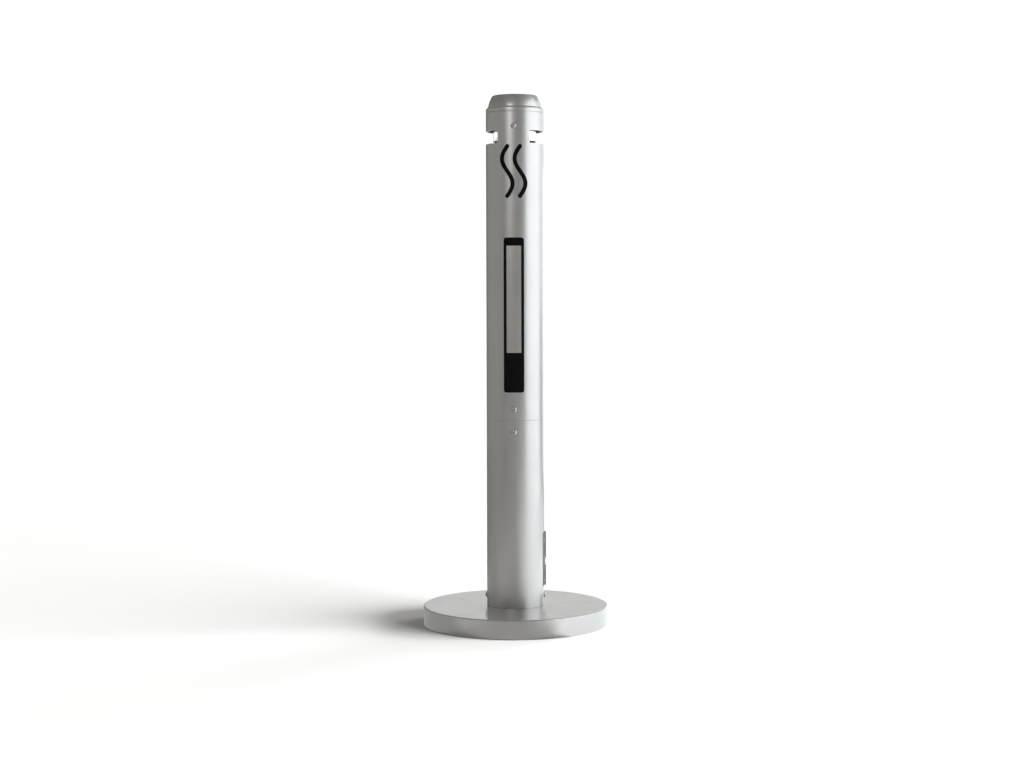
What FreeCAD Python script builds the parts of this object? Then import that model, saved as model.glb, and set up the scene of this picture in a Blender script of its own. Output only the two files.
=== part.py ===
"""A free-standing post ashtray: a round weighted base, a two-piece tube, side slots under a cap, a rear door.

Millimetres, +Z up. The origin is on the floor under the centre of the base. The front of the post faces -Y.
Angles go round the post from +X towards +Y, so the front is at -90 and the rear at 90 degrees.
Each function below makes one sub-part, and the list at the end writes one STEP file for each of them.
"""

import FreeCAD, Part
import math
import os
from FreeCAD import Vector

INCH = 25.4

# Post: a 4 in nominal tube in two lengths
POST_R = 4.5 * INCH / 2
POST_WALL = 0.125 * INCH
BORE_R = POST_R - POST_WALL
SEAM_Z = 410.5
POST_TOP = 1016.0
OVERALL_H = 1052.0
EDGE_BREAK = 0.4
FRONT = -90.0
THREE_ROUND = (FRONT, 30.0, 150.0)
DRILL_DEPTH = (40.0, 70.0)

# Base
BASE_R = 14.5 * INCH / 2
BASE_TOP = 1.5 * INCH
COVER_SHEET = 1.5
COVER_RIM_Z = 1.0
COVER_CORNER_R = 2.0
BALLAST_R = BASE_R - COVER_SHEET - 1.0
BALLAST_TOP = BASE_TOP - COVER_SHEET
RING_INNER_R = 148.0
RING_BOTTOM = 12.0
WEB_THICK = 6.0
HUB_R = 52.0
HUB_BOTTOM = 17.0
RIB_COUNT = 6
RIB_THICK = 7.0
FOOT_COUNT = 4
FOOT_CIRCLE_R = 164.0
FOOT_R = 14.0
FOOT_EDGE_R = 2.5
FOOT_STEM_R = 5.0
FOOT_STEM_H = 14.0
FOOT_STEM_FIT = 0.1

# Spigot that the post stands over
SPIGOT_R = BORE_R - 0.15
SPIGOT_WALL = 6.0
SPIGOT_REAR_Z = 80.0
SPIGOT_SLOPE = 8.0
SPIGOT_SCREW_Z = 58.0
SPIGOT_BOSS_R = 9.0
BASE_BOLT_CIRCLE_R = 32.0
BASE_BOLT_R = 4.0
BASE_BOLT_TIP = 58.0
BASE_BOLT_CLEARANCE = 0.4
WASHER_R = 8.5
WASHER_H = 1.6
WASHER_CLEARANCE = 0.3
BASE_BOLT_ANGLES = (90.0, 210.0, 330.0)

# Sleeve that joins the two tubes
SLEEVE_R = BORE_R - 0.1
SLEEVE_WALL = 3.0
SLEEVE_HALF = 45.0
SLEEVE_SCREW_OFFSET = 22.5

# Slots and cap
SLOT_BOTTOM = 955.0
SLOT_TOP = SLOT_BOTTOM + INCH
STRUT_HALF_ANGLE = 33.3
SLOT_CORNER_R = 2.0
PLUG_R = BORE_R - 0.15
PLUG_WALL = 4.0
PLUG_BOTTOM = 982.5
CAP_SCREW_Z = 987.8
REVEAL = 1.2
REVEAL_R = POST_R - 1.3
CAP_BOSS_Z = 1012.0
CAP_BOSS_R = 5.0
LIP_TOP = 1021.7
SHOULDER_MIDDLE = (POST_R - 1.1, LIP_TOP + 3.6)
CREASE_R = 53.0
CREASE_Z = 1027.2
FLANK_TOP_R = 46.8
FLANK_TOP_Z = 1046.2
FLANK_BULGE = 0.8
CROWN_R = 44.3
CROWN_ROUND = 3.5
CROWN_RISE = 1.0
CROWN_WALL = 4.0

# Baffle that hangs inside the slots and leaves room for a cigarette end only
BAFFLE_R = 42.85
BAFFLE_SHEET = 1.2
BAFFLE_BOTTOM = 960.4
BAFFLE_FLANGE_R = 29.0
BAFFLE_SCREW_CIRCLE_R = 35.5

# Button-head screws in two sizes: M4 inside for the baffle, M6 wherever they show
SCREW_FIT = 0.05
SCREW_CLEARANCE = 0.25
SMALL_SCREW = {"shank": 2.0, "head": 3.8, "height": 2.2, "socket": 2.5, "length": 8.0}
LARGE_SCREW = {"shank": 3.0, "head": 5.25, "height": 3.3, "socket": 4.0, "length": 12.0}
POST_SCREW_ANGLES = (0.0, 180.0)

# Rear door
OPENING_Z = (83.0, 178.0)
OPENING_ANGLES = (22.0, 157.0)
OPENING_CORNER_R = 8.0
DOOR_Z = (77.0, 184.0)
DOOR_ANGLES = (9.5, 163.0)
DOOR_CORNER_R = 8.0
DOOR_IN_R = POST_R + 0.4
DOOR_OUT_R = DOOR_IN_R + 1.5

# Hinges: two of the same section, the upper one longer. The leaves run on past the knuckles.
PIN_ANGLE = 6.0
PIN_CIRCLE_R = POST_R + 2.2
PIN_R = 1.0
KNUCKLE_R = 1.9
KNUCKLE_GAP = 0.3
RUNNING = 0.05
LEAF = 0.9
LEAF_CORNER_R = 2.0
LEAF_OVERLAP = 3.0
POST_LEAF_ANGLES = (-14.0, 3.6)
DOOR_LEAF_ANGLES = (8.6, 31.0)
UPPER_HINGE = {"leaf": (124.3, 184.0), "barrel": (131.0, 184.0), "knuckles": 4, "rivets": (134.0, 168.0)}
LOWER_HINGE = {"leaf": (77.0, 123.7), "barrel": (77.0, 117.0), "knuckles": 3, "rivets": (88.0, 112.0)}
POST_RIVET_ANGLE = -7.0
DOOR_RIVET_ANGLE = 26.5
RIVET_R = 1.2
RIVET_FIT = 0.05
RIVET_HEAD_R = 2.2
RIVET_HEAD_H = 0.9
RIVET_TAIL_R = 1.9
RIVET_TAIL_H = 0.8

# Cam lock in the door, along a radius of the post
LOCK_ANGLE = 140.0
LOCK_Z = (DOOR_Z[0] + DOOR_Z[1]) / 2
LOCK_SEAT = 61.2
LOCK_BARREL_R = 8.0
LOCK_HOLE_FIT = 0.1
LOCK_BACK = 46.8
LOCK_PLUG_R = 5.5
LOCK_HEAD_R = 10.5
LOCK_HEAD_H = 2.4
CAM_OUTER = 46.5
CAM_THICK = 2.0
CAM_REACH = 24.0
CAM_HALF_W = 7.0
DRIVE_SQUARE = 6.0
CAM_SCREW_R = 1.75
CAM_SCREW_HEAD_R = 4.5
CAM_SCREW_HEAD_H = 2.2
CAM_SCREW_DEPTH = 6.0
NUT_FLATS = 20.0
NUT_H = 4.5
KEY_HALF_W = 0.7
KEY_HALF_H = 3.6
KEY_PIN_R = 1.7
KEY_DEPTH = 6.0
PLUG_RECESS = 0.4

# Printed pictogram on the front of the upper tube, heights up the post and half widths
INK_THICK = 0.15
CIGARETTE_Z = (466.0, 770.0)
CIGARETTE_HALF_W = 20.0
CIGARETTE_CORNER_R = 5.0
CIGARETTE_LINE = 5.5
PAPER_CORNER_R = 1.5
FILTER_H = 78.0
EMBER_H = 16.0
SMOKE_Z = (851.0, 948.0)
SMOKE_X = (-12.5, 12.5)
SMOKE_SWAY = 10.5
SMOKE_LINE = 8.0


# ---------------------------------------------------------------- helpers

def polar(radius, angle, z=0.0):
    """The point at that radius, angle round the post and height."""
    turn = math.radians(angle)
    return Vector(radius * math.cos(turn), radius * math.sin(turn), z)


def disc(radius, low, high, at=None):
    """A cylinder from one height to the other, on the post's axis or through the point at."""
    centre = at or Vector(0, 0, 0)
    return Part.makeCylinder(radius, high - low, Vector(centre.x, centre.y, low))


def ring(outer, inner, low, high, at=None):
    """A round tube between two heights."""
    return disc(outer, low, high, at).cut(disc(inner, low, high, at))


def sector(outer, inner, heights, angles):
    """The part of a round tube between two heights and two angles."""
    low, high = heights
    start, end = angles
    up = Vector(0, 0, 1)
    base = Vector(0, 0, low)
    outside = Part.makeCylinder(outer, high - low, base, up, end - start)
    inside = Part.makeCylinder(inner, high - low, base, up, end - start)
    piece = outside.cut(inside)
    piece.rotate(Vector(0, 0, 0), up, start)
    return piece


def round_corners(piece, radius, depth):
    """Rounds the four corners of a curved panel: its straight edges that run through its thickness."""
    corners = []
    for edge in piece.Edges:
        flat = isinstance(edge.Curve, Part.Line)
        level = abs(edge.Vertexes[0].Z - edge.Vertexes[-1].Z) < 1e-6
        if flat and level and abs(edge.Length - depth) < 1e-3:
            corners.append(edge)
    return piece.makeFillet(radius, corners)


def spin(path):
    """A solid of revolution about the post's axis. A pair is a corner (r, z); four numbers are an arc's
    middle and end."""
    edges = []
    here = Vector(path[0][0], 0, path[0][1])
    for step in path[1:] + path[:1]:
        there = Vector(step[-2], 0, step[-1])
        if len(step) == 4:
            middle = Vector(step[0], 0, step[1])
            edges.append(Part.Arc(here, middle, there).toShape())
        elif there.distanceToPoint(here) > 1e-6:
            edges.append(Part.makeLine(here, there))
        here = there
    face = Part.Face(Part.Wire(edges))
    return face.revolve(Vector(0, 0, 0), Vector(0, 0, 1), 360)


def quarter(start, end, centre):
    """The arc step from start to end, a quarter turn or less, round a centre (r, z)."""
    away_r = (start[0] + end[0]) / 2 - centre[0]
    away_z = (start[1] + end[1]) / 2 - centre[1]
    reach = math.hypot(start[0] - centre[0], start[1] - centre[1]) / math.hypot(away_r, away_z)
    return centre[0] + away_r * reach, centre[1] + away_z * reach, end[0], end[1]


def dome(rim_r, rim_z, top_z):
    """The arc step for a shallow dome that runs from its rim to its top on the axis, centred on the axis."""
    rise = top_z - rim_z
    ball = (rim_r ** 2 + rise ** 2) / (2 * rise)
    half_turn = math.asin(rim_r / ball) / 2
    return ball * math.sin(half_turn), top_z - ball + ball * math.cos(half_turn), 0, top_z


def bulged(start, end, rise):
    """The arc step from start up to end, bulged outwards by rise at its middle."""
    along_r = end[0] - start[0]
    along_z = end[1] - start[1]
    share = rise / math.hypot(along_r, along_z)
    middle_r = (start[0] + end[0]) / 2 + along_z * share
    middle_z = (start[1] + end[1]) / 2 - along_r * share
    return (middle_r, middle_z) + end


def rounded(before, corner, after, radius):
    """The two path steps that round a corner (r, z) between its neighbours: the line's end, then the arc."""
    corner = Vector(corner[0], 0, corner[1])
    back = Vector(before[0], 0, before[1]).sub(corner).normalize()
    ahead = Vector(after[0], 0, after[1]).sub(corner).normalize()
    half = back.getAngle(ahead) / 2
    reach = radius / math.tan(half)
    start = corner.add(Vector(back).multiply(reach))
    end = corner.add(Vector(ahead).multiply(reach))
    inward = back.add(ahead).normalize().multiply(radius / math.sin(half) - radius)
    middle = corner.add(inward)
    return [(start.x, start.z), (middle.x, middle.z, end.x, end.z)]


def hexagon(across_flats, low, high):
    """A hexagonal prism on the local axis."""
    corner = across_flats / 2 / math.cos(math.radians(30))
    points = [polar(corner, 60 * i, low) for i in range(7)]
    return Part.Face(Part.makePolygon(points)).extrude(Vector(0, 0, high - low))


def block(half_x, half_y, low, high):
    """A rectangular block centred on the local axis."""
    return Part.makeBox(2 * half_x, 2 * half_y, high - low, Vector(-half_x, -half_y, low))


def on_radius(piece, angle, z):
    """Turns a piece made on the local Z axis so that Z runs outwards along a radius of the post.
    Local X then points round the post and local Y points up."""
    out = polar(1, angle)
    side = polar(1, angle + 90)
    turned = piece.copy()
    turned.Placement = FreeCAD.Placement(
        FreeCAD.Matrix(side.x, 0, out.x, 0, side.y, 0, out.y, 0, 0, 1, 0, z)
    )
    return turned


def button_screw(seat, size):
    """A security button-head screw: domed head on a seat, hexagon socket with a centre pin, plain shank."""
    head_r = size["head"]
    height = size["height"]
    crown = seat + height
    floor = crown - height * 0.6
    head = spin([
        (0, seat),
        (head_r, seat),
        (head_r, seat + height * 0.16),
        (head_r * 0.82, seat + height * 0.72, head_r * 0.45, crown),
        (0, crown),
    ])
    head = head.cut(hexagon(size["socket"], floor, crown + 1))
    pin = disc(size["socket"] / 5, floor, crown - height * 0.15)
    shank = disc(size["shank"], seat - size["length"], seat)
    return head.fuse([pin, shank]).removeSplitter()


def hex_bolt(under_head, tip):
    """An M8 hexagon-head bolt on the local axis: head below under_head, shank up to tip."""
    flats = 13.0
    head_h = 5.3
    chamfer = 1.2
    foot = under_head - head_h
    head = hexagon(flats, foot, under_head)
    turned = spin([
        (0, foot),
        (flats * 0.47, foot),
        (flats * 0.62, foot + chamfer),
        (flats * 0.62, under_head),
        (0, under_head),
    ])
    shank = spin([
        (0, under_head),
        (BASE_BOLT_R, under_head),
        (BASE_BOLT_R, tip - chamfer),
        (BASE_BOLT_R - chamfer, tip),
        (0, tip),
    ])
    return head.common(turned).fuse(shank).removeSplitter()


def rivet(outer_face, inner_face):
    """A domed rivet on the local axis through the layers between the two faces, with a flat tail inside."""
    crown = outer_face + RIVET_HEAD_H
    tail = inner_face - RIVET_TAIL_H
    return spin([
        (0, tail),
        (RIVET_TAIL_R, tail),
        (RIVET_TAIL_R, inner_face),
        (RIVET_R, inner_face),
        (RIVET_R, outer_face),
        (RIVET_HEAD_R, outer_face),
        dome(RIVET_HEAD_R, outer_face, crown),
    ])


def drill(piece, radius, angles, heights):
    """Drills the same radial hole through the post's wall at every one of the angles and heights."""
    holes = [on_radius(disc(radius, *DRILL_DEPTH), angle, z) for angle in angles for z in heights]
    return piece.cut(holes)


def around(piece, angles, heights):
    """Copies of a piece made on the local axis, one along each radius at each height, as separate solids."""
    return Part.makeCompound([on_radius(piece, angle, z) for angle in angles for z in heights])


# ---------------------------------------------------------------- base

def base_cover():
    """The spun sheet cover: flat top, tight rounded edge and a straight skirt."""
    top = BASE_TOP
    sheet = COVER_SHEET
    bend = COVER_CORNER_R
    centre = (BASE_R - bend, top - bend)
    cover = spin([
        (0, top - sheet),
        (BASE_R - bend, top - sheet),
        quarter((BASE_R - bend, top - sheet), (BASE_R - sheet, top - bend), centre),
        (BASE_R - sheet, COVER_RIM_Z),
        (BASE_R, COVER_RIM_Z),
        (BASE_R, top - bend),
        quarter((BASE_R, top - bend), (BASE_R - bend, top), centre),
        (0, top),
    ])
    return cover.cut(base_bolt_holes())


def base_bolt_holes():
    """Clearance for the three bolts through the cover and the ballast."""
    hole = BASE_BOLT_R + BASE_BOLT_CLEARANCE
    return [disc(hole, 0, BASE_TOP + 1, place) for place in base_bolt_places()]


def base_bolt_places():
    """The axes of the three base bolts."""
    return [polar(BASE_BOLT_CIRCLE_R, angle) for angle in BASE_BOLT_ANGLES]


def base_ballast():
    """The cast-iron weight: a thick rim, a thin web, a hub for the bolts and ribs between them."""
    rim = ring(BALLAST_R, RING_INNER_R, RING_BOTTOM, BALLAST_TOP)
    web = disc(BALLAST_R, BALLAST_TOP - WEB_THICK, BALLAST_TOP)
    hub = disc(HUB_R, HUB_BOTTOM, BALLAST_TOP)
    bite = 4.0
    length = RING_INNER_R - HUB_R + 2 * bite
    corner = Vector(HUB_R - bite, -RIB_THICK / 2, HUB_BOTTOM)
    ribs = []
    for i in range(RIB_COUNT):
        rib = Part.makeBox(length, RIB_THICK, BALLAST_TOP - HUB_BOTTOM, corner)
        rib.rotate(Vector(0, 0, 0), Vector(0, 0, 1), 360 * i / RIB_COUNT)
        ribs.append(rib)
    stem_hole = FOOT_STEM_R + FOOT_STEM_FIT
    stems = [disc(stem_hole, 0, RING_BOTTOM + FOOT_STEM_H + 1, at) for at in foot_places()]
    return rim.fuse([web, hub] + ribs).removeSplitter().cut(base_bolt_holes() + stems)


def foot_places():
    """The centres of the feet, on the diagonals."""
    return [polar(FOOT_CIRCLE_R, 45 + 360 * i / FOOT_COUNT) for i in range(FOOT_COUNT)]


def base_foot(at):
    """A rubber foot with a stem pushed up into the ballast rim."""
    foot = spin([
        (0, 0),
        (FOOT_R - FOOT_EDGE_R, 0),
        quarter((FOOT_R - FOOT_EDGE_R, 0), (FOOT_R, FOOT_EDGE_R), (FOOT_R - FOOT_EDGE_R, FOOT_EDGE_R)),
        (FOOT_R, RING_BOTTOM),
        (FOOT_STEM_R, RING_BOTTOM),
        (FOOT_STEM_R, RING_BOTTOM + FOOT_STEM_H),
        (0, RING_BOTTOM + FOOT_STEM_H),
    ])
    foot.translate(at)
    return foot


def base_washers():
    """One thick washer under each bolt head."""
    low = HUB_BOTTOM - WASHER_H
    hole = BASE_BOLT_R + WASHER_CLEARANCE
    return Part.makeCompound([ring(WASHER_R, hole, low, HUB_BOTTOM, place) for place in base_bolt_places()])


def base_bolts():
    """Three bolts from below through washer, ballast and cover into the spigot."""
    bolts = []
    for place in base_bolt_places():
        bolt = hex_bolt(HUB_BOTTOM - WASHER_H, BASE_BOLT_TIP)
        bolt.translate(place)
        bolts.append(bolt)
    return Part.makeCompound(bolts)


# ---------------------------------------------------------------- post

def under_slope(drop):
    """A wedge-topped block whose top falls from front to rear, lowered by drop."""
    rear = SPIGOT_REAR_Z - drop
    front = rear + SPIGOT_SLOPE
    reach = SPIGOT_R
    corners = [
        Vector(-reach, -reach, BASE_TOP),
        Vector(-reach, reach, BASE_TOP),
        Vector(-reach, reach, rear),
        Vector(-reach, -reach, front),
        Vector(-reach, -reach, BASE_TOP),
    ]
    return Part.Face(Part.makePolygon(corners)).extrude(Vector(2 * reach, 0, 0))


def post_spigot():
    """The cast cup the post stands over. Its sloping top is the floor of the bin and falls to the door."""
    high = SPIGOT_REAR_Z + SPIGOT_SLOPE + 1
    outside = disc(SPIGOT_R, BASE_TOP, high).common(under_slope(0))
    hollow = disc(SPIGOT_R - SPIGOT_WALL, BASE_TOP, high).common(under_slope(SPIGOT_WALL))
    bosses = []
    taps = []
    for place in base_bolt_places():
        boss = disc(SPIGOT_BOSS_R, BASE_TOP, high, place)
        bosses.append(boss.common(under_slope(SPIGOT_WALL / 2)))
        taps.append(disc(BASE_BOLT_R + SCREW_FIT, 0, BASE_BOLT_TIP + 3, place))
    cup = outside.cut(hollow).fuse(bosses).removeSplitter().cut(taps)
    return drill(cup, LARGE_SCREW["shank"] + SCREW_FIT, POST_SCREW_ANGLES, (SPIGOT_SCREW_Z,))


def post_screws():
    """Two button-head screws, left and right, through the tube into the spigot."""
    return around(button_screw(POST_R, LARGE_SCREW), POST_SCREW_ANGLES, (SPIGOT_SCREW_Z,))


def tube(low, high):
    """A length of the post with lightly broken edges."""
    corner = EDGE_BREAK
    return spin([
        (BORE_R, low),
        (POST_R - corner, low),
        (POST_R, low + corner),
        (POST_R, high - corner),
        (POST_R - corner, high),
        (BORE_R, high),
    ])


def window(heights, angles, corner_r):
    """The piece to cut away for an opening with rounded corners right through the tube's wall."""
    spare = 2.0
    outer = POST_R + spare
    inner = BORE_R - spare
    return round_corners(sector(outer, inner, heights, angles), corner_r, outer - inner)


def lower_tube():
    """The lower length of the post with the rear opening and its screw and rivet holes."""
    piece = tube(BASE_TOP, SEAM_Z)
    piece = piece.cut(window(OPENING_Z, OPENING_ANGLES, OPENING_CORNER_R))
    hole = LARGE_SCREW["shank"] + SCREW_CLEARANCE
    piece = drill(piece, hole, POST_SCREW_ANGLES, (SPIGOT_SCREW_Z,))
    piece = drill(piece, hole, THREE_ROUND, (SEAM_Z - SLEEVE_SCREW_OFFSET,))
    return drill(piece, RIVET_R + RIVET_FIT, (POST_RIVET_ANGLE,), hinge_rivet_heights())


def joint_sleeve():
    """The tube inside the seam that both lengths of the post are screwed to."""
    low = SEAM_Z - SLEEVE_HALF
    high = SEAM_Z + SLEEVE_HALF
    inner = SLEEVE_R - SLEEVE_WALL
    lead = 1.0
    piece = spin([
        (inner, low),
        (SLEEVE_R - lead, low),
        (SLEEVE_R, low + lead),
        (SLEEVE_R, high - lead),
        (SLEEVE_R - lead, high),
        (inner, high),
    ])
    return drill(piece, LARGE_SCREW["shank"] + SCREW_FIT, THREE_ROUND, sleeve_screw_heights())


def sleeve_screw_heights():
    """The rows of sleeve screws below and above the seam."""
    return (SEAM_Z - SLEEVE_SCREW_OFFSET, SEAM_Z + SLEEVE_SCREW_OFFSET)


def sleeve_screws():
    """Six button-head screws, three round the post on each side of the seam."""
    return around(button_screw(POST_R, LARGE_SCREW), THREE_ROUND, sleeve_screw_heights())


def upper_tube():
    """The upper length of the post with a wide slot in each side."""
    piece = tube(SEAM_Z, POST_TOP)
    half_slot = 90 - STRUT_HALF_ANGLE
    for middle in (0.0, 180.0):
        angles = (middle - half_slot, middle + half_slot)
        piece = piece.cut(window((SLOT_BOTTOM, SLOT_TOP), angles, SLOT_CORNER_R))
    hole = LARGE_SCREW["shank"] + SCREW_CLEARANCE
    return drill(piece, hole, THREE_ROUND, (SEAM_Z + SLEEVE_SCREW_OFFSET, CAP_SCREW_Z))


# ---------------------------------------------------------------- head

def cap():
    """The cast cap: plug inside the tube, shadow gap, lip, round shoulder, bulged cone, nearly flat top."""
    bore = PLUG_R - PLUG_WALL
    lip_z = POST_TOP + REVEAL
    rim_z = OVERALL_H - CROWN_RISE
    ceiling = OVERALL_H - CROWN_WALL
    crease = (CREASE_R, CREASE_Z)
    flank_top = (FLANK_TOP_R, FLANK_TOP_Z)
    crown_start, crown_round = rounded(flank_top, (CROWN_R, rim_z), (0, rim_z), CROWN_ROUND)
    lead = 0.8
    piece = spin([
        (bore, PLUG_BOTTOM),
        (PLUG_R - lead, PLUG_BOTTOM),
        (PLUG_R, PLUG_BOTTOM + lead),
        (PLUG_R, POST_TOP),
        (REVEAL_R, POST_TOP),
        (REVEAL_R, lip_z),
        (POST_R - EDGE_BREAK, lip_z),
        (POST_R, lip_z + EDGE_BREAK),
        (POST_R, LIP_TOP),
        SHOULDER_MIDDLE + crease,
        bulged(crease, flank_top, FLANK_BULGE),
        crown_start,
        crown_round,
        dome(crown_round[2], rim_z, OVERALL_H),
        (0, ceiling),
        (CROWN_R - CROWN_WALL, ceiling),
        (bore, LIP_TOP),
    ])
    tap_r = SMALL_SCREW["shank"] + SCREW_FIT
    bosses = [disc(CAP_BOSS_R, CAP_BOSS_Z, ceiling + 1, place) for place in baffle_screw_places()]
    taps = [disc(tap_r, CAP_BOSS_Z - 1, CAP_BOSS_Z + 10, place) for place in baffle_screw_places()]
    piece = piece.fuse(bosses).removeSplitter().cut(taps)
    return drill(piece, LARGE_SCREW["shank"] + SCREW_FIT, THREE_ROUND, (CAP_SCREW_Z,))


def baffle_screw_places():
    """The axes of the three screws that hold the baffle under the cap."""
    return [polar(BAFFLE_SCREW_CIRCLE_R, angle) for angle in THREE_ROUND]


def cap_screws():
    """Three button-head screws through the tube into the cap's plug."""
    return around(button_screw(POST_R, LARGE_SCREW), THREE_ROUND, (CAP_SCREW_Z,))


def baffle():
    """The bright inner cylinder with an inward flange at the top, screwed under the cap."""
    inner = BAFFLE_R - BAFFLE_SHEET
    hem = BAFFLE_SHEET / 2
    piece = spin([
        (inner + hem, BAFFLE_BOTTOM),
        (BAFFLE_R, BAFFLE_BOTTOM + hem),
        (BAFFLE_R, CAP_BOSS_Z),
        (BAFFLE_FLANGE_R, CAP_BOSS_Z),
        (BAFFLE_FLANGE_R, CAP_BOSS_Z - BAFFLE_SHEET),
        (inner, CAP_BOSS_Z - BAFFLE_SHEET),
        (inner, BAFFLE_BOTTOM + hem),
    ])
    hole_r = SMALL_SCREW["shank"] + SCREW_CLEARANCE
    below = CAP_BOSS_Z - 2 * BAFFLE_SHEET
    holes = [disc(hole_r, below, CAP_BOSS_Z + 1, place) for place in baffle_screw_places()]
    return piece.cut(holes)


def baffle_screws():
    """Three button-head screws up through the baffle's flange into the cap."""
    screws = []
    for place in baffle_screw_places():
        screw = button_screw(0, SMALL_SCREW)
        screw.rotate(Vector(0, 0, 0), Vector(1, 0, 0), 180)
        screw.translate(Vector(place.x, place.y, CAP_BOSS_Z - BAFFLE_SHEET))
        screws.append(screw)
    return Part.makeCompound(screws)


# ---------------------------------------------------------------- pictogram

def flat_shape(wire):
    """A flat outline in the XZ plane in front of the post, pushed back as far as the post's axis."""
    return Part.Face(wire).extrude(Vector(0, 2 * POST_R, 0))


def rounded_bar(half_w, low, high, radius):
    """A rectangle with rounded corners, as a flat shape on the front."""
    box = Part.makeBox(2 * half_w, 2 * POST_R, high - low, Vector(-half_w, -2 * POST_R, low))
    corners = [e for e in box.Edges if abs(e.Vertexes[0].Y - e.Vertexes[-1].Y) > POST_R]
    return box.makeFillet(radius, corners)


def smoke_line(middle_x):
    """One wavy line of even width with round ends."""
    low, high = SMOKE_Z
    samples = 12
    half = SMOKE_LINE / 2

    def edge_point(i, side):
        share = i / samples
        phase = 2 * math.pi * share
        slope = SMOKE_SWAY * 2 * math.pi / (high - low) * math.cos(phase)
        length = math.hypot(slope, 1)
        x = middle_x + SMOKE_SWAY * math.sin(phase) + side * half / length
        z = low + share * (high - low) - side * half * slope / length
        return Vector(x, -2 * POST_R, z)

    def end_cap(i, away):
        left = edge_point(i, -1)
        right = edge_point(i, 1)
        across = right.sub(left).normalize()
        outward = Vector(-across.z, 0, across.x).multiply(away * half)
        tip = left.add(right).multiply(0.5).add(outward)
        return left, tip, right

    sides = []
    for side in (-1, 1):
        curve = Part.BSplineCurve()
        curve.interpolate([edge_point(i, side) for i in range(samples + 1)])
        sides.append(curve.toShape())
    left, tip, right = end_cap(samples, 1)
    top = Part.Arc(left, tip, right).toShape()
    left, tip, right = end_cap(0, -1)
    bottom = Part.Arc(left, tip, right).toShape()
    return flat_shape(Part.Wire(Part.__sortEdges__([sides[0], top, sides[1], bottom])))


def pictogram():
    """A plain cigarette and two lines of smoke in thin black film, on the front of the upper tube."""
    low, high = CIGARETTE_Z
    outline = rounded_bar(CIGARETTE_HALF_W, low, high, CIGARETTE_CORNER_R)
    paper_half_w = CIGARETTE_HALF_W - CIGARETTE_LINE
    paper = rounded_bar(paper_half_w, low + FILTER_H, high - EMBER_H, PAPER_CORNER_R)
    shapes = [outline.cut(paper)] + [smoke_line(x) for x in SMOKE_X]
    film = ring(POST_R + INK_THICK, POST_R, low - SMOKE_LINE, SMOKE_Z[1] + SMOKE_LINE)
    return Part.makeCompound([film.common(shape) for shape in shapes])


# ---------------------------------------------------------------- rear door

def hinge_leaf(hinge, inner_r, angles, first):
    """One leaf of a hinge: a curved plate on the surface at inner_r, every second knuckle from first."""
    low, high = hinge["barrel"]
    count = hinge["knuckles"]
    pitch = (high - low + KNUCKLE_GAP) / count
    plate = round_corners(sector(inner_r + LEAF, inner_r, hinge["leaf"], angles), LEAF_CORNER_R, LEAF)
    centre = polar(PIN_CIRCLE_R, PIN_ANGLE)
    near_edge = min(angles, key=lambda a: abs(a - PIN_ANGLE))
    inside_plate = near_edge + math.copysign(LEAF_OVERLAP, near_edge - PIN_ANGLE)
    span = (min(inside_plate, PIN_ANGLE), max(inside_plate, PIN_ANGLE))
    parts = []
    bores = []
    for i in range(first, count, 2):
        start = low + i * pitch
        end = start + pitch - KNUCKLE_GAP
        parts.append(disc(KNUCKLE_R, start, end, centre))
        parts.append(sector(inner_r + LEAF, inner_r, (start, end), span))
        bores.append(disc(PIN_R + RUNNING, start, end, centre))
    return plate.fuse(parts).cut(bores).removeSplitter()


def hinge_post_leaf(hinge):
    """The leaf riveted to the tube."""
    leaf = hinge_leaf(hinge, POST_R, POST_LEAF_ANGLES, 0)
    return drill(leaf, RIVET_R + RIVET_FIT, (POST_RIVET_ANGLE,), hinge["rivets"])


def hinge_door_leaf(hinge):
    """The leaf riveted to the door."""
    leaf = hinge_leaf(hinge, DOOR_OUT_R, DOOR_LEAF_ANGLES, 1)
    return drill(leaf, RIVET_R + RIVET_FIT, (DOOR_RIVET_ANGLE,), hinge["rivets"])


def hinge_pin(hinge):
    """The hinge pin, with a low head at each end so that it cannot drop out."""
    low, high = hinge["barrel"]
    head_h = 0.5
    head_r = PIN_R + 0.5
    centre = polar(PIN_CIRCLE_R, PIN_ANGLE)
    shank = disc(PIN_R, low, high, centre)
    heads = [disc(head_r, low - head_h, low, centre), disc(head_r, high, high + head_h, centre)]
    return shank.fuse(heads).removeSplitter()


def hinge_rivet_heights():
    """The heights of all the rivets, upper hinge first."""
    return UPPER_HINGE["rivets"] + LOWER_HINGE["rivets"]


def hinge_post_rivets():
    """Rivets through the post leaves and the tube wall."""
    return around(rivet(POST_R + LEAF, BORE_R - 0.05), (POST_RIVET_ANGLE,), hinge_rivet_heights())


def hinge_door_rivets():
    """Rivets through the door leaves and the door."""
    return around(rivet(DOOR_OUT_R + LEAF, DOOR_IN_R - 0.1), (DOOR_RIVET_ANGLE,), hinge_rivet_heights())


def door_panel():
    """The curved door over the rear opening, with holes for the lock and the hinge rivets."""
    depth = DOOR_OUT_R - DOOR_IN_R
    piece = round_corners(sector(DOOR_OUT_R, DOOR_IN_R, DOOR_Z, DOOR_ANGLES), DOOR_CORNER_R, depth)
    piece = drill(piece, LOCK_BARREL_R + LOCK_HOLE_FIT, (LOCK_ANGLE,), (LOCK_Z,))
    return drill(piece, RIVET_R + RIVET_FIT, (DOOR_RIVET_ANGLE,), hinge_rivet_heights())


# ---------------------------------------------------------------- lock

def on_lock(piece):
    """Moves a piece made on the local axis to the lock's axis."""
    return on_radius(piece, LOCK_ANGLE, LOCK_Z)


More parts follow.
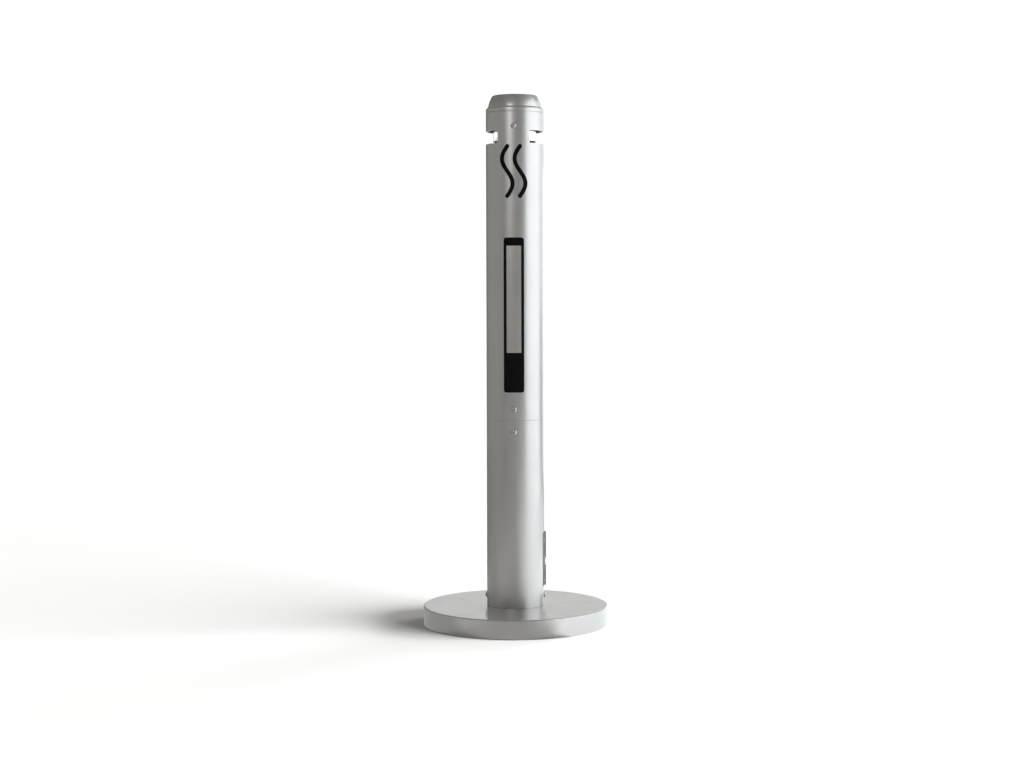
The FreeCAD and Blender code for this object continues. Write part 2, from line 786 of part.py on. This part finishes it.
def lock_saddle():
    """The collar between the curved door and the flat back of the lock's head."""
    collar = on_lock(ring(LOCK_HEAD_R, LOCK_BARREL_R + LOCK_HOLE_FIT, DRILL_DEPTH[0], LOCK_SEAT))
    return collar.cut(disc(DOOR_OUT_R, DOOR_Z[0], DOOR_Z[1]))


def lock_body():
    """The lock's case: a round head and a barrel with two flats, bored for the plug."""
    face = LOCK_SEAT + LOCK_HEAD_H
    bore = LOCK_PLUG_R + RUNNING
    bevel = 0.8
    head = spin([
        (bore, LOCK_SEAT),
        (LOCK_HEAD_R, LOCK_SEAT),
        (LOCK_HEAD_R, face - bevel),
        (LOCK_HEAD_R - bevel, face),
        (bore, face),
    ])
    barrel = ring(LOCK_BARREL_R, bore, LOCK_BACK, LOCK_SEAT)
    barrel = barrel.common(block(LOCK_BARREL_R, LOCK_BARREL_R * 0.84, LOCK_BACK, LOCK_SEAT))
    return on_lock(head.fuse(barrel).removeSplitter())


def lock_nut():
    """The thin nut that clamps the lock to the door from inside."""
    corner = NUT_FLATS / 2 / math.cos(math.radians(30))
    outer_face = math.sqrt(DOOR_IN_R ** 2 - corner ** 2) - 0.05
    nut = hexagon(NUT_FLATS, outer_face - NUT_H, outer_face)
    return on_lock(nut.cut(disc(LOCK_BARREL_R + SCREW_FIT, *DRILL_DEPTH)))


def lock_plug():
    """The part of the lock that the key turns, with a key slot in front and a square drive behind."""
    face = LOCK_SEAT + LOCK_HEAD_H - PLUG_RECESS
    plug = disc(LOCK_PLUG_R, CAM_OUTER, face)
    slot = block(KEY_HALF_W, KEY_HALF_H, face - KEY_DEPTH, face + 1)
    way = disc(KEY_PIN_R, face - KEY_DEPTH, face + 1)
    half = DRIVE_SQUARE / 2
    drive = block(half, half, CAM_OUTER - CAM_THICK, CAM_OUTER)
    tap = disc(CAM_SCREW_R, CAM_OUTER - CAM_THICK - 1, CAM_OUTER + CAM_SCREW_DEPTH + 2)
    return on_lock(plug.cut([slot, way]).fuse(drive).cut(tap).removeSplitter())


def lock_cam():
    """The flat latch bar. It points up when unlocked and turns a quarter towards the edge of the opening."""
    low = CAM_OUTER - CAM_THICK
    tip_y = CAM_REACH - CAM_HALF_W
    bar = Part.makeBox(2 * CAM_HALF_W, tip_y, CAM_THICK, Vector(-CAM_HALF_W, 0, low))
    ends = [disc(CAM_HALF_W, low, CAM_OUTER), disc(CAM_HALF_W, low, CAM_OUTER)]
    ends[1].translate(Vector(0, tip_y, 0))
    half = DRIVE_SQUARE / 2 + RUNNING
    return on_lock(bar.fuse(ends).removeSplitter().cut(block(half, half, low - 1, CAM_OUTER + 1)))


def cam_screw():
    """The screw that holds the cam on the plug."""
    seat = CAM_OUTER - CAM_THICK
    front = seat - CAM_SCREW_HEAD_H
    arm = CAM_SCREW_HEAD_R * 0.62
    arm_half_w = 0.5
    floor = front + CAM_SCREW_HEAD_H / 2
    head = disc(CAM_SCREW_HEAD_R, front, seat)
    cross = [block(arm_half_w, arm, front - 1, floor), block(arm, arm_half_w, front - 1, floor)]
    shank = disc(CAM_SCREW_R - SCREW_FIT, seat, CAM_OUTER + CAM_SCREW_DEPTH)
    return on_lock(head.cut(cross).fuse(shank).removeSplitter())


# ---------------------------------------------------------------- files

def save(name, shape):
    """Writes one sub-part to its own file."""
    shape.exportStep("parts/" + name + ".step")


os.makedirs("parts", exist_ok=True)

save("base_cover", base_cover())
save("base_ballast", base_ballast())
for number, place in enumerate(foot_places(), start=1):
    save("base_foot_" + str(number), base_foot(place))
save("base_washers", base_washers())
save("base_bolts", base_bolts())
save("post_spigot", post_spigot())
save("post_screws", post_screws())
save("lower_tube", lower_tube())
save("joint_sleeve", joint_sleeve())
save("sleeve_screws", sleeve_screws())
save("upper_tube", upper_tube())
save("pictogram", pictogram())
save("cap", cap())
save("cap_screws", cap_screws())
save("baffle", baffle())
save("baffle_screws", baffle_screws())
save("door_panel", door_panel())
save("hinge_upper_post_leaf", hinge_post_leaf(UPPER_HINGE))
save("hinge_lower_post_leaf", hinge_post_leaf(LOWER_HINGE))
save("hinge_upper_door_leaf", hinge_door_leaf(UPPER_HINGE))
save("hinge_lower_door_leaf", hinge_door_leaf(LOWER_HINGE))
save("hinge_upper_pin", hinge_pin(UPPER_HINGE))
save("hinge_lower_pin", hinge_pin(LOWER_HINGE))
save("hinge_post_rivets", hinge_post_rivets())
save("hinge_door_rivets", hinge_door_rivets())
save("lock_saddle", lock_saddle())
save("lock_body", lock_body())
save("lock_nut", lock_nut())
save("lock_plug", lock_plug())
save("lock_cam", lock_cam())
save("cam_screw", cam_screw())
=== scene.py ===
"""Looks of the post ashtray: procedural materials for its pieces, a pale floor, studio lights, a camera.

Metres, in the same frame as the CAD: +Z up, the front of the post faces -Y and the origin is on the floor.
"""

import math

import bpy
from mathutils import Euler, Matrix, Vector


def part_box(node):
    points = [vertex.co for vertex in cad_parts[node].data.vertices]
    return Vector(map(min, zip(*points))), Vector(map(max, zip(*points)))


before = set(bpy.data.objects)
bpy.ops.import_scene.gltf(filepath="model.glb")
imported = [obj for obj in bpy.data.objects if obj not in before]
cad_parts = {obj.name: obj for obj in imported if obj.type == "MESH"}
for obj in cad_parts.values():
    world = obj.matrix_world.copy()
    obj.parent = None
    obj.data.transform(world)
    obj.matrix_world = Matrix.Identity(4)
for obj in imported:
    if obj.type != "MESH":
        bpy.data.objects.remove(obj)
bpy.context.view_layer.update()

# ---------------------------------------------------------------- settings

# Camera: in front of the bin and a touch to its right, above half its height, looking slightly down
CAMERA_TURN = 2.4
CAMERA_REACH = 3.541
CAMERA_ASIDE = -0.006
CAMERA_Z = 0.648
CAMERA_DROP = 2.712
CAMERA_ROLL = 0.13
LENS = 62.45
SENSOR = 36.0

# The low lights on the floor: height and spread in degrees, then each one's turn from +X and strength
WASH_HEIGHT = 9.0
WASH_SPREAD = 26.0
WASHES = ((-42.0, 5.2), (-21.0, 6.4), (0.0, 5.8), (46.0, 2.9))

# Upright panels stand this far to the right, and cards lie just clear of the floor
PANEL_X = 2.1
CARD_Z = 0.0006

# The room's own light at eye level and away from it, how soon one becomes the other, and the white behind
ROOM_LEVEL = 0.215
ROOM_ABOVE = 0.22
ROOM_BAND = 0.4
BACKDROP_LEVEL = 1.05

# Heights of the dust above the base, and of the band on the baffle behind the slots that darkens towards
# its bottom
BASE_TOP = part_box("base_cover")[1].z
DUST_REACH = 0.10
BAFFLE_DARK_BOTTOM = 0.960
BAFFLE_DARK_TOP = 0.985

# Colours, each followed by those that cloud it or wear into it
SILVER = (0.520, 0.515, 0.500)
SILVER_DEEP = (0.465, 0.460, 0.445)
BARE_METAL = (0.700, 0.700, 0.690)
DUST = (0.420, 0.400, 0.370)
HINGE_GREY = (0.200, 0.200, 0.204)
HINGE_RUBBED = (0.270, 0.270, 0.274)
ZINC = (0.560, 0.565, 0.580)
ZINC_DULL = (0.470, 0.475, 0.485)
MILL = (0.780, 0.785, 0.790)
MILL_DULL = (0.700, 0.705, 0.712)
BAFFLE_LOW_BROWN = (0.420, 0.380, 0.320)
CAST = (0.480, 0.480, 0.475)
CAST_DULL = (0.400, 0.400, 0.398)
IRON = (0.035, 0.035, 0.037)
RUST = (0.130, 0.055, 0.025)
RUBBER = (0.018, 0.018, 0.019)
RUBBER_BLOOM = (0.050, 0.049, 0.047)
INK = (0.0025, 0.0025, 0.0028)
INK_WORN = (0.0042, 0.0042, 0.0046)
CHROME = (0.620, 0.620, 0.630)
CHROME_DULL = (0.540, 0.540, 0.550)
FLOOR = (0.860, 0.860, 0.855)
FLOOR_SHADE = (0.850, 0.850, 0.845)

# Light colours
WHITE = (1.0, 1.0, 1.0)
COOL = (0.95, 1.0, 1.05)
WARM = (1.0, 0.985, 0.95)
ROOM = (1.0, 0.985, 0.955)

# Paint texture: flakes and orange peel, as noise scales over a metre
FLAKES = 2400.0
PEEL = 430.0

# ---------------------------------------------------------------- node helpers

class Nodes:
    """Builds one material: a Principled shader with textures in the object's own coordinates."""

    def __init__(self, name):
        self.material = bpy.data.materials.new(name)
        self.material.use_nodes = True
        self.tree = self.material.node_tree
        self.tree.nodes.clear()
        output = self.new("ShaderNodeOutputMaterial")
        self.shader = self.new("ShaderNodeBsdfPrincipled")
        self.place = self.new("ShaderNodeTexCoord").outputs["Object"]
        self.link(self.shader.outputs["BSDF"], output.inputs["Surface"])

    def new(self, kind):
        return self.tree.nodes.new(kind)

    def link(self, source, target):
        self.tree.links.new(source, target)

    def fill(self, socket, value):
        """Gives a socket a plain value, or a link when the value is another socket."""
        if isinstance(value, bpy.types.NodeSocket):
            self.link(value, socket)
        elif isinstance(value, tuple) and len(value) == 3 and socket.type == "RGBA":
            socket.default_value = value + (1,)
        else:
            socket.default_value = value

    def set(self, **values):
        """Sets shader sockets by name: set(Metallic=1, Coat_Weight=0.2)."""
        for key, value in values.items():
            self.fill(self.shader.inputs[key.replace("_", " ")], value)

    def stretched(self, x, y, z):
        """The object's coordinates scaled along each axis, for a texture with a direction."""
        node = self.new("ShaderNodeMapping")
        node.inputs["Scale"].default_value = (x, y, z)
        self.link(self.place, node.inputs["Vector"])
        return node.outputs["Vector"]

    def noise(self, scale, detail=3.0, rough=0.5, at=None):
        """Cloudy noise, about 0.3 to 0.7."""
        node = self.new("ShaderNodeTexNoise")
        node.inputs["Scale"].default_value = scale
        node.inputs["Detail"].default_value = detail
        node.inputs["Roughness"].default_value = rough
        self.link(at or self.place, node.inputs["Vector"])
        return node.outputs["Fac"]

    def cells(self, scale, output="Distance"):
        """Round cells, as a distance from each centre or as a random colour per cell."""
        node = self.new("ShaderNodeTexVoronoi")
        node.inputs["Scale"].default_value = scale
        self.link(self.place, node.inputs["Vector"])
        return node.outputs[output]

    def fit(self, value, low, high, to_low=0.0, to_high=1.0):
        """Maps low..high to to_low..to_high, clamped."""
        node = self.new("ShaderNodeMapRange")
        limits = {"From Min": low, "From Max": high, "To Min": to_low, "To Max": to_high}
        for name, number in limits.items():
            node.inputs[name].default_value = number
        self.link(value, node.inputs["Value"])
        return node.outputs["Result"]

    def math(self, operation, a, b):
        """One step of arithmetic on sockets or numbers."""
        node = self.new("ShaderNodeMath")
        node.operation = operation
        self.fill(node.inputs[0], a)
        self.fill(node.inputs[1], b)
        return node.outputs["Value"]

    def height(self):
        """The height of the point, in the object's own coordinates."""
        node = self.new("ShaderNodeSeparateXYZ")
        self.link(self.place, node.inputs["Vector"])
        return node.outputs["Z"]

    def mix(self, share, a, b):
        """Blends colour a into colour b by share."""
        node = self.new("ShaderNodeMix")
        node.data_type = "RGBA"
        self.link(share, node.inputs[0])
        self.fill(node.inputs[6], a)
        self.fill(node.inputs[7], b)
        return node.outputs[2]

    def bump(self, height, strength, distance, under=None):
        """A layer of relief, on top of another layer if one is given."""
        node = self.new("ShaderNodeBump")
        node.inputs["Strength"].default_value = strength
        node.inputs["Distance"].default_value = distance
        self.link(height, node.inputs["Height"])
        if under is not None:
            self.link(under, node.inputs["Normal"])
        return node.outputs["Normal"]


# ---------------------------------------------------------------- materials

def silver_paint(name, roughness, dust_share):
    """Satin silver paint: fine flake, faint orange peel, hair scratches, smudges, and dust low down."""
    n = Nodes(name)
    cloud = n.fit(n.noise(7.0, 4.0), 0.35, 0.65)
    flake = n.fit(n.cells(FLAKES, "Color"), 0.0, 1.0, -0.05, 0.05)
    depth = n.math("ADD", n.fit(cloud, 0.0, 1.0, 0.1, 0.6), flake)
    colour = n.mix(depth, SILVER, SILVER_DEEP)

    scratch_field = n.noise(1.0, 2.0, 0.6, n.stretched(520.0, 520.0, 16.0))
    scratch = n.fit(scratch_field, 0.69, 0.73, 0.0, 0.35)
    colour = n.mix(scratch, colour, BARE_METAL)

    speck = n.fit(n.noise(380.0, 2.0), 0.60, 0.72)
    low_down = n.fit(n.height(), BASE_TOP, BASE_TOP + DUST_REACH, 1.0, 0.0)
    dust = n.math("MULTIPLY", n.math("MULTIPLY", speck, low_down), dust_share)
    colour = n.mix(dust, colour, DUST)

    smudge = n.fit(n.noise(24.0, 5.0, 0.6), 0.40, 0.66, 0.0, 0.05)
    satin = n.math("ADD", n.math("ADD", smudge, roughness), n.math("MULTIPLY", dust, 0.4))
    peel = n.bump(n.noise(PEEL, 1.0), 0.10, 0.0003)
    grain = n.bump(n.cells(FLAKES), 0.12, 0.00006, peel)
    n.set(Base_Color=colour, Metallic=0.86, Roughness=satin)
    n.set(Normal=grain, Coat_Weight=0.6, Coat_Roughness=0.10)
    return n.material


def hinge_paint():
    """The same silver over steel, thinner and greyer, rubbed in patches."""
    n = Nodes("hinge_paint")
    rub = n.fit(n.noise(210.0, 4.0, 0.6), 0.50, 0.62, 0.0, 0.7)
    colour = n.mix(rub, HINGE_GREY, HINGE_RUBBED)
    rough = n.fit(n.noise(90.0, 3.0), 0.3, 0.7, 0.34, 0.48)
    n.set(Base_Color=colour, Metallic=0.85, Roughness=rough)
    n.set(Normal=n.bump(n.noise(900.0, 2.0), 0.15, 0.0002))
    return n.material


def zinc():
    """Bright zinc on screws, bolts and rivets: faint blue-grey clouding and a fine grain."""
    n = Nodes("zinc")
    cloud = n.fit(n.noise(300.0, 4.0), 0.38, 0.62)
    colour = n.mix(cloud, ZINC, ZINC_DULL)
    rough = n.fit(n.noise(700.0, 2.0), 0.3, 0.7, 0.30, 0.46)
    n.set(Base_Color=colour, Metallic=1.0, Roughness=rough)
    n.set(Normal=n.bump(n.noise(1600.0, 1.0), 0.12, 0.0001))
    return n.material


def mill_sheet():
    """Bright rolled aluminium with grain round the cylinder, darker, browner and rougher towards its
    bottom edge.
    """
    n = Nodes("mill_sheet")
    grain = n.noise(1.0, 4.0, 0.65, n.stretched(18.0, 18.0, 1500.0))
    # Darker, browner and rougher towards the baffle's bottom edge, blotched by noise
    low = n.fit(n.height(), BAFFLE_DARK_BOTTOM, BAFFLE_DARK_TOP, 0.45, 0.0)
    low_darkening = n.math("MULTIPLY", low, n.fit(n.noise(60.0, 4.0), 0.35, 0.65))
    sheet = n.mix(n.fit(grain, 0.3, 0.7), MILL, MILL_DULL)
    colour = n.mix(low_darkening, sheet, BAFFLE_LOW_BROWN)
    rough = n.math("ADD", n.fit(grain, 0.3, 0.7, 0.20, 0.34), n.math("MULTIPLY", low_darkening, 0.3))
    n.set(Base_Color=colour, Metallic=1.0, Roughness=rough, Normal=n.bump(grain, 0.10, 0.0002))
    return n.material


def cast_alloy():
    """Bare cast aluminium: pebbled skin, uneven sheen."""
    n = Nodes("cast_alloy")
    skin = n.noise(420.0, 5.0, 0.62)
    colour = n.mix(n.fit(n.noise(40.0, 3.0), 0.35, 0.65), CAST, CAST_DULL)
    rough = n.fit(skin, 0.3, 0.7, 0.42, 0.60)
    n.set(Base_Color=colour, Metallic=1.0, Roughness=rough, Normal=n.bump(skin, 0.35, 0.0004))
    return n.material


def cast_iron():
    """Sand-cast iron dipped in black paint: coarse skin with a few rusty specks."""
    n = Nodes("cast_iron")
    skin = n.noise(260.0, 6.0, 0.68)
    rust = n.fit(n.noise(95.0, 5.0, 0.7), 0.60, 0.68, 0.0, 0.6)
    colour = n.mix(rust, IRON, RUST)
    rough = n.fit(skin, 0.3, 0.7, 0.50, 0.78)
    n.set(Base_Color=colour, Metallic=0.2, Roughness=rough, Normal=n.bump(skin, 0.6, 0.0009))
    return n.material


def rubber():
    """Moulded black rubber with a dusty bloom."""
    n = Nodes("rubber")
    bloom = n.fit(n.noise(130.0, 4.0), 0.45, 0.65, 0.0, 0.5)
    colour = n.mix(bloom, RUBBER, RUBBER_BLOOM)
    rough = n.fit(n.noise(320.0, 2.0), 0.3, 0.7, 0.70, 0.88)
    n.set(Base_Color=colour, Roughness=rough, Specular_IOR_Level=0.35)
    n.set(Normal=n.bump(n.noise(1400.0, 2.0), 0.25, 0.0002))
    return n.material


def black_film():
    """Cast vinyl film: deep black, satin, following the grain of the paint below."""
    n = Nodes("black_film")
    colour = n.mix(n.fit(n.noise(90.0, 3.0), 0.35, 0.65), INK, INK_WORN)
    rough = n.fit(n.noise(160.0, 3.0), 0.3, 0.7, 0.44, 0.58)
    n.set(Base_Color=colour, Roughness=rough, Specular_IOR_Level=0.04)
    n.set(Normal=n.bump(n.noise(PEEL, 1.0), 0.12, 0.0003))
    return n.material


def satin_chrome():
    """Satin chrome on the lock, with fine handling marks."""
    n = Nodes("satin_chrome")
    marks = n.noise(500.0, 4.0, 0.6)
    colour = n.mix(n.fit(marks, 0.35, 0.65), CHROME, CHROME_DULL)
    rough = n.fit(marks, 0.3, 0.7, 0.16, 0.30)
    n.set(Base_Color=colour, Metallic=1.0, Roughness=rough, Normal=n.bump(marks, 0.06, 0.0001))
    return n.material


def pale_floor():
    """A smooth pale floor with the slightest mottling."""
    n = Nodes("pale_floor")
    colour = n.mix(n.fit(n.noise(1.5, 3.0), 0.35, 0.65), FLOOR, FLOOR_SHADE)
    n.set(Base_Color=colour, Roughness=0.75, Specular_IOR_Level=0.2)
    n.set(Normal=n.bump(n.noise(160.0, 3.0), 0.02, 0.0003))
    return n.material


# ---------------------------------------------------------------- materials on the CAD pieces

post_silver = silver_paint("silver_post", 0.345, 0.10)
base_silver = silver_paint("silver_base", 0.28, 0.16)
hinge_silver = hinge_paint()
zinc_plate = zinc()
bright = mill_sheet()
alloy = cast_alloy()
iron = cast_iron()
black_rubber = rubber()
film = black_film()
chrome = satin_chrome()

# Pieces not named here are zinc plated: the fasteners, pins and rivets, and the rest of the lock
FINISHES = {
    "base_cover": base_silver,
    "lower_tube": post_silver,
    "upper_tube": post_silver,
    "cap": post_silver,
    "door_panel": post_silver,
    "hinge_upper_post_leaf": hinge_silver,
    "hinge_lower_post_leaf": hinge_silver,
    "hinge_upper_door_leaf": hinge_silver,
    "hinge_lower_door_leaf": hinge_silver,
    "baffle": bright,
    "joint_sleeve": alloy,
    "post_spigot": alloy,
    "base_ballast": iron,
    "base_foot_1": black_rubber,
    "base_foot_2": black_rubber,
    "base_foot_3": black_rubber,
    "base_foot_4": black_rubber,
    "pictogram": film,
    "lock_body": chrome,
    "lock_saddle": chrome,
    "lock_plug": chrome,
}

for name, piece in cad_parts.items():
    piece.data.materials.clear()
    piece.data.materials.append(FINISHES.get(name, zinc_plate))


# ---------------------------------------------------------------- floor, lights, camera

def make_floor():
    """A wide flat disc just under the feet. Its own glare is kept out of reflections in the paint."""
    mesh = bpy.data.meshes.new("floor")
    reach = 30.0
    drop = 0.0002
    sides = 96
    turns = [2 * math.pi * i / sides for i in range(sides)]
    rim = [(reach * math.cos(turn), reach * math.sin(turn), -drop) for turn in turns]
    mesh.from_pydata(rim, [], [list(range(sides))])
    mesh.materials.append(pale_floor())
    floor = bpy.data.objects.new("floor", mesh)
    bpy.context.scene.collection.objects.link(floor)
    floor.visible_glossy = False
    return floor


def turned(x, y, z):
    """A place given as the camera sees it, across, away and up, in the bin's own axes."""
    return Matrix.Rotation(math.radians(CAMERA_TURN), 3, "Z") @ Vector((x, y, z))


def aim(lamp, at, target):
    """Places a lamp and points it at its target."""
    lamp.location = at
    lamp.rotation_euler = (Vector(target) - Vector(at)).to_track_quat("-Z", "Y").to_euler()
    bpy.context.scene.collection.objects.link(lamp)


def softbox(name, at, target, width, height, radiance, tint=WHITE):
    """A rectangular studio light that faces its target. Its power follows from the radiance wanted."""
    data = bpy.data.lights.new(name, "AREA")
    data.shape = "RECTANGLE"
    data.size = width
    data.size_y = height
    data.energy = radiance * math.pi * width * height
    data.color = tint
    lamp = bpy.data.objects.new(name, data)
    lamp.visible_camera = False
    aim(lamp, turned(*at), turned(*target))
    return lamp


def right_panel(name, y, z, width, height, radiance):
    """A softbox that stands upright on the right of the bin and faces across it."""
    return softbox(name, (PANEL_X, y, z), (0, y, z), width, height, radiance, COOL)


def floor_card(name, x, y, width, depth, radiance, tint=WHITE):
    """A card that lies on the floor and shines up, for what the paint low on the bin reflects."""
    return softbox(name, (x, y, CARD_Z), (x, y, 1.0), width, depth, radiance, tint)


def only_on(lamp, pieces):
    """Limits a light to some pieces."""
    lit = bpy.data.collections.new(lamp.name + "_lights")
    for piece in pieces:
        lit.objects.link(piece)
    lamp.light_linking.receiver_collection = lit


def floor_wash(floor, turn, strength):
    """A broad low light on the floor alone. Together they whiten it and cast the soft shadow."""
    data = bpy.data.lights.new("floor_wash", "SUN")
    data.energy = strength
    data.angle = math.radians(WASH_SPREAD)
    lamp = bpy.data.objects.new("floor_wash", data)
    level = math.cos(math.radians(WASH_HEIGHT))
    side = math.radians(turn)
    towards = (level * math.cos(side), level * math.sin(side), math.sin(math.radians(WASH_HEIGHT)))
    aim(lamp, turned(*towards), (0, 0, 0))
    only_on(lamp, [floor])


def make_world():
    """A dim surround, a touch darker at eye level, and plain white where the camera sees it directly."""
    world = bpy.data.worlds.new("studio")
    world.use_nodes = True
    tree = world.node_tree
    link = tree.links.new
    surround = tree.nodes["Background"]
    surround.inputs["Color"].default_value = ROOM + (1,)
    towards = tree.nodes.new("ShaderNodeTexCoord")
    split = tree.nodes.new("ShaderNodeSeparateXYZ")
    height = tree.nodes.new("ShaderNodeMath")
    height.operation = "ABSOLUTE"
    strength = tree.nodes.new("ShaderNodeMapRange")
    strength.inputs["From Max"].default_value = ROOM_BAND
    strength.inputs["To Min"].default_value = ROOM_LEVEL
    strength.inputs["To Max"].default_value = ROOM_ABOVE
    link(towards.outputs["Generated"], split.inputs["Vector"])
    link(split.outputs["Z"], height.inputs[0])
    link(height.outputs["Value"], strength.inputs["Value"])
    link(strength.outputs["Result"], surround.inputs["Strength"])
    backdrop = tree.nodes.new("ShaderNodeBackground")
    backdrop.inputs["Color"].default_value = (1, 1, 1, 1)
    backdrop.inputs["Strength"].default_value = BACKDROP_LEVEL
    ray = tree.nodes.new("ShaderNodeLightPath")
    pick = tree.nodes.new("ShaderNodeMixShader")
    link(ray.outputs["Is Camera Ray"], pick.inputs["Fac"])
    link(surround.outputs["Background"], pick.inputs[1])
    link(backdrop.outputs["Background"], pick.inputs[2])
    link(pick.outputs["Shader"], tree.nodes["World Output"].inputs["Surface"])
    bpy.context.scene.world = world


def make_camera():
    """The camera, turned a little way round the post from straight in front."""
    data = bpy.data.cameras.new("camera")
    data.lens = LENS
    data.sensor_width = SENSOR
    data.clip_end = 100
    camera = bpy.data.objects.new("camera", data)
    camera.location = turned(CAMERA_ASIDE, -CAMERA_REACH, CAMERA_Z)
    tilt = Euler((math.radians(90 - CAMERA_DROP), math.radians(CAMERA_ROLL), 0)).to_matrix()
    camera.rotation_euler = (Matrix.Rotation(math.radians(CAMERA_TURN), 3, "Z") @ tilt).to_euler()
    bpy.context.scene.collection.objects.link(camera)
    bpy.context.scene.camera = camera


studio_floor = make_floor()
make_world()
pieces = list(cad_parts.values())
lamps = [
    right_panel("key_right", -0.63, 1.60, 3.05, 2.0, 1.85),
    right_panel("key_low", -0.68, 0.30, 3.15, 0.60, 1.70),
    right_panel("key_rear", 1.75, 1.40, 1.7, 1.6, 1.1),
    right_panel("rear_low", 1.75, 0.30, 1.7, 0.60, 0.28),
    softbox("rear_right", (1.43, 2.6, 1.1), (1.43, 0, 1.1), 1.35, 2.2, 0.9, COOL),
    floor_card("bounce_close", 0.26, 0.14, 0.28, 0.72, 1.15, COOL),
    floor_card("bounce_near", 0.56, 0.44, 0.32, 1.32, 1.75, COOL),
    floor_card("bounce_right", 1.71, 0.55, 1.98, 2.5, 0.9, COOL),
    floor_card("bounce_quarter", 0.44, -0.46, 0.56, 0.48, 1.20),
    floor_card("bounce_corner", 1.25, -1.40, 2.1, 1.4, 0.75),
    floor_card("bounce_front", -0.27, -0.75, 0.86, 1.15, 0.26),
    floor_card("bounce_left", -0.65, 0.0, 1.0, 1.2, 0.22),
    softbox("fill_left", (-2.3, 0.15, 0.95), (0, 0.15, 0.85), 4.0, 1.8, 0.17, WARM),
    softbox("backdrop", (0.50, 2.6, 0.55), (0, 0, 0.45), 2.0, 1.1, 0.66),
    softbox("overhead", (0.2, 1.1, 2.7), (0, 0, 0.3), 2.0, 2.0, 0.5),
]
for lamp in lamps:
    only_on(lamp, pieces)

# The fine bright line down the post. The base is left out, because its rounded edge would catch a spark.
glint = softbox("glint", (-1.06, -2.82, 1.92), (0, 0, 0.95), 0.20, 0.45, 50.0)
only_on(glint, [piece for name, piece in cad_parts.items() if name != "base_cover"])

# The baffle is seen through a slot on each side, and takes its light from behind
for side in (-1, 1):
    slot_light = softbox("slot_light", (side * 1.0, 0.75, 0.93), (side * 0.03, 0, 0.968), 1.2, 0.8, 1.2)
    only_on(slot_light, [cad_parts["baffle"]])

for turn, strength in WASHES:
    floor_wash(studio_floor, turn, strength)
make_camera()

bpy.context.scene.view_settings.view_transform = "Standard"
bpy.context.scene.view_settings.look = "None"
